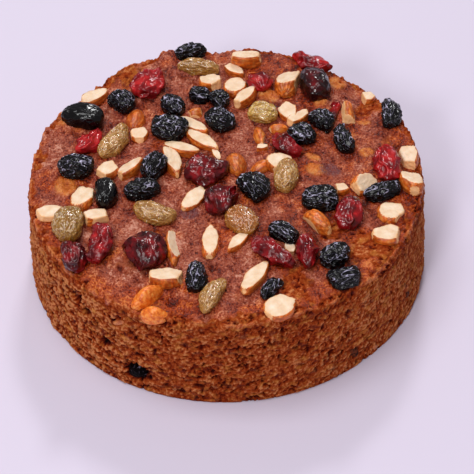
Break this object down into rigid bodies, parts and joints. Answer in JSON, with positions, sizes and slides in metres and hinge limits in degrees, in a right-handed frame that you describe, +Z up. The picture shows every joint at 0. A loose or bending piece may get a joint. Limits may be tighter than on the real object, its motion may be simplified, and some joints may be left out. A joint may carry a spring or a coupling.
{
  "type": "fruit cake",
  "caption": "Round uncut fruit cake with raisins, golden raisins, dried cranberries and chopped almonds baked onto a flat top crust, standing on its flat base.",
  "frame": {"origin": "middle of the flat base", "axes": "+Z up through the middle of the cake, -Y towards the side that is seen first"},
  "size_m": [0.166, 0.166, 0.0544],
  "materials": {
    "crumb": "matte baked crumb, brown crust",
    "black_raisin": "satin wrinkled skin",
    "golden_raisin": "satin wrinkled skin, slightly translucent",
    "cranberry": "glossy sticky skin",
    "almond": "matte cream cut face with brown skin"
  },
  "bodies": {
    "root": {"cake": "crumb", "black_raisin_01": "black_raisin", "black_raisin_02": "black_raisin", "black_raisin_03": "black_raisin", "black_raisin_04": "black_raisin", "black_raisin_05": "black_raisin", "black_raisin_06": "black_raisin", "black_raisin_07": "black_raisin", "black_raisin_08": "black_raisin", "black_raisin_09": "black_raisin", "black_raisin_10": "black_raisin", "black_raisin_11": "black_raisin", "black_raisin_12": "black_raisin", "black_raisin_13": "black_raisin", "black_raisin_14": "black_raisin", "black_raisin_15": "black_raisin", "black_raisin_16": "black_raisin", "black_raisin_17": "black_raisin", "black_raisin_18": "black_raisin", "black_raisin_19": "black_raisin", "black_raisin_20": "black_raisin", "black_raisin_21": "black_raisin", "black_raisin_22": "black_raisin", "black_raisin_23": "black_raisin", "black_raisin_24": "black_raisin", "golden_raisin_01": "golden_raisin", "golden_raisin_02": "golden_raisin", "golden_raisin_03": "golden_raisin", "golden_raisin_04": "golden_raisin", "golden_raisin_05": "golden_raisin", "golden_raisin_06": "golden_raisin", "golden_raisin_07": "golden_raisin", "golden_raisin_08": "golden_raisin", "cranberry_01": "cranberry", "cranberry_02": "cranberry", "cranberry_03": "cranberry", "cranberry_04": "cranberry", "cranberry_05": "cranberry", "cranberry_06": "cranberry", "cranberry_07": "cranberry", "cranberry_08": "cranberry", "cranberry_09": "cranberry", "cranberry_10": "cranberry", "cranberry_11": "cranberry", "cranberry_12": "cranberry", "cranberry_13": "cranberry", "cranberry_14": "cranberry", "cranberry_15": "cranberry", "almond_01": "almond", "almond_02": "almond", "almond_03": "almond", "almond_04": "almond", "almond_05": "almond", "almond_06": "almond", "almond_07": "almond", "almond_08": "almond", "almond_09": "almond", "almond_10": "almond", "almond_11": "almond", "almond_12": "almond"}
  },
  "joints": []
}
